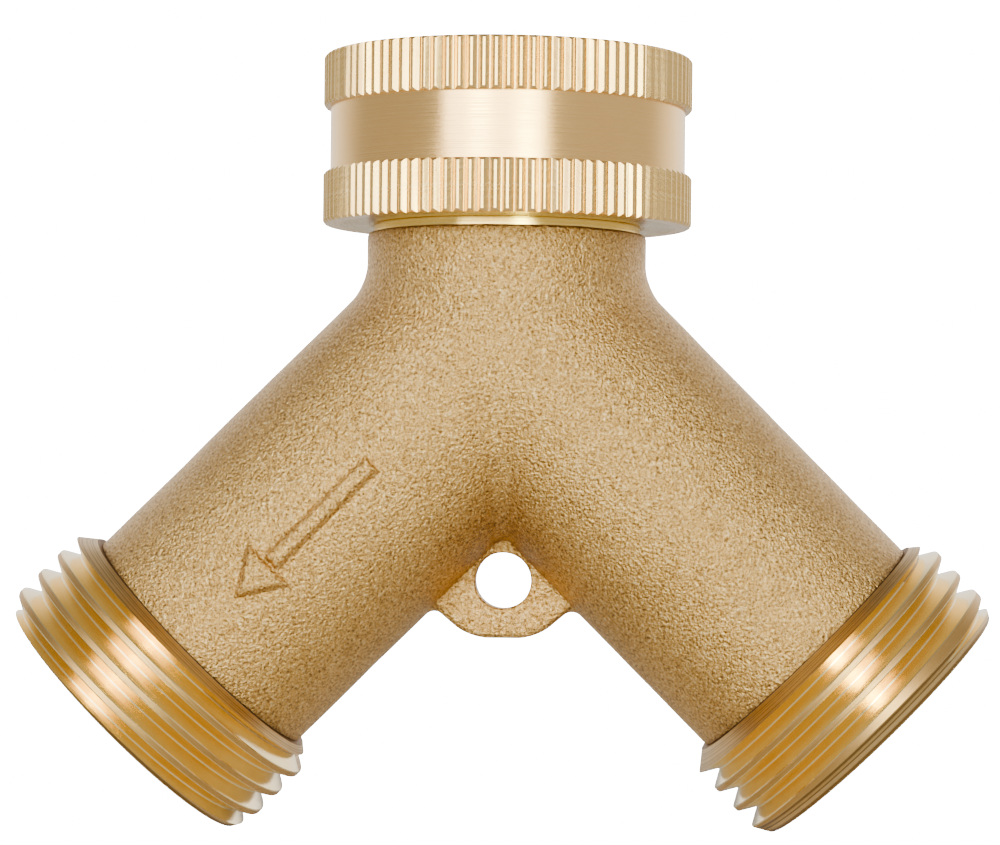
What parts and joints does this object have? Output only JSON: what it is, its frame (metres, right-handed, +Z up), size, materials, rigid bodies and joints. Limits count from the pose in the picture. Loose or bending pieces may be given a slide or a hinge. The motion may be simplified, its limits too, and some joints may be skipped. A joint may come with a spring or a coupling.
{
  "type": "hose splitter",
  "caption": "Valveless Y hose splitter in cast brass: a knurled swivel inlet nut with female hose thread, male threaded legs at 45 degrees and a hang lug in the crotch.",
  "frame": {"origin": "on the inlet's axis, in the plane of the washer's sealing face inside the swivel nut, where the end of a screwed-in tap comes to rest; the inlet_thread mount is there", "axes": "+Z up along the inlet's axis, out of the swivel nut; both legs lie in the XZ plane, 45 degrees either side of straight down; -Y is the side with the flow arrow"},
  "size_m": [0.0801, 0.0304, 0.0636],
  "materials": {
    "body_brass": "satin",
    "nut_brass": "satin",
    "ring_steel": "satin",
    "washer_rubber": "matte"
  },
  "bodies": {
    "splitter": {"y_body": "body_brass", "retaining_ring": "ring_steel"},
    "nut": {"swivel_nut": "nut_brass", "hose_washer": "washer_rubber"}
  },
  "joints": [
    {"name": "nut_swivel", "type": "hinge", "parent": "splitter", "child": "nut", "pos_m": [0, 0, 0], "axis": [0, 0, 1], "continuous": true}
  ]
}
